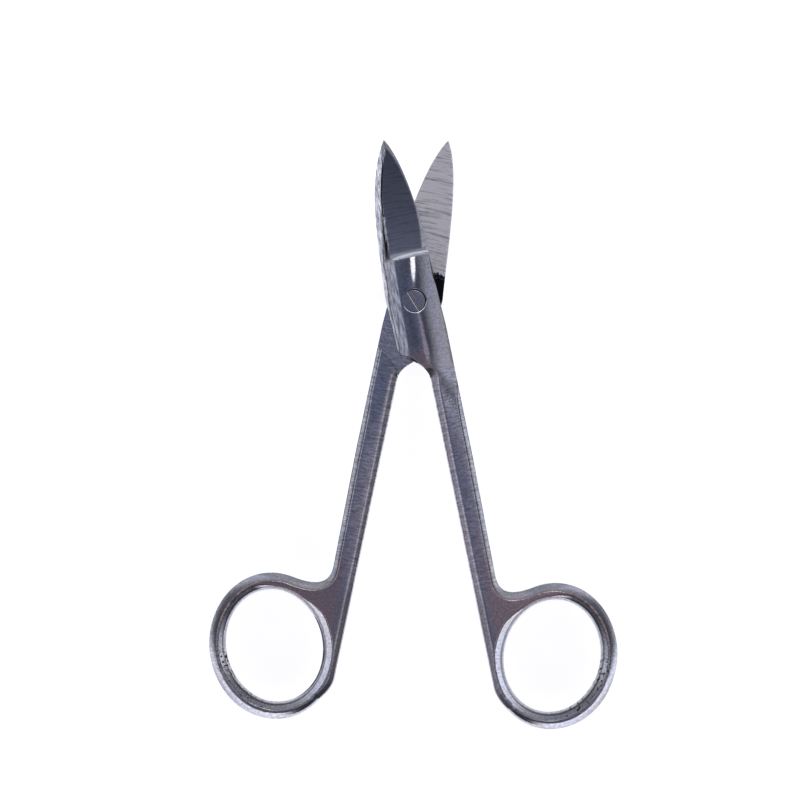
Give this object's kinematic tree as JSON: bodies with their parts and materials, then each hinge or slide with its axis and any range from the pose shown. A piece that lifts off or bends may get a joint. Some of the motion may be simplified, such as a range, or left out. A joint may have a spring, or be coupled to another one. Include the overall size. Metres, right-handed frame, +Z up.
{
  "type": "ring-handled thread snips",
  "caption": "Small all-steel scissors for fine thread work: two forged halves with pointed blades and finger rings, joined by a flush slotted screw and lying partly open.",
  "frame": {"origin": "on the pivot axis, at the underside of the joint", "axes": "+Z up along the pivot axis and out of the screw head, +Y midway between the open blades towards the tips, +X towards the front half's finger ring"},
  "size_m": [0.0799, 0.1154, 0.0045],
  "materials": {
    "front_steel": "satin forged stainless steel, fine cross grain on the shank, hollow-ground blade face",
    "rear_steel": "satin forged stainless steel, flat ground inner blade face with grinding lines, dark scale by the joint",
    "screw_steel": "turned steel, slightly dulled"
  },
  "bodies": {
    "rear_body": {"rear_half": "rear_steel", "pivot_screw": "screw_steel"},
    "front_body": {"front_half": "front_steel"}
  },
  "joints": [
    {"name": "blade_pivot", "type": "hinge", "parent": "rear_body", "child": "front_body", "pos_m": [0, 0, 0], "axis": [0, 0, 1], "range_deg": [-23.4, 100]}
  ]
}
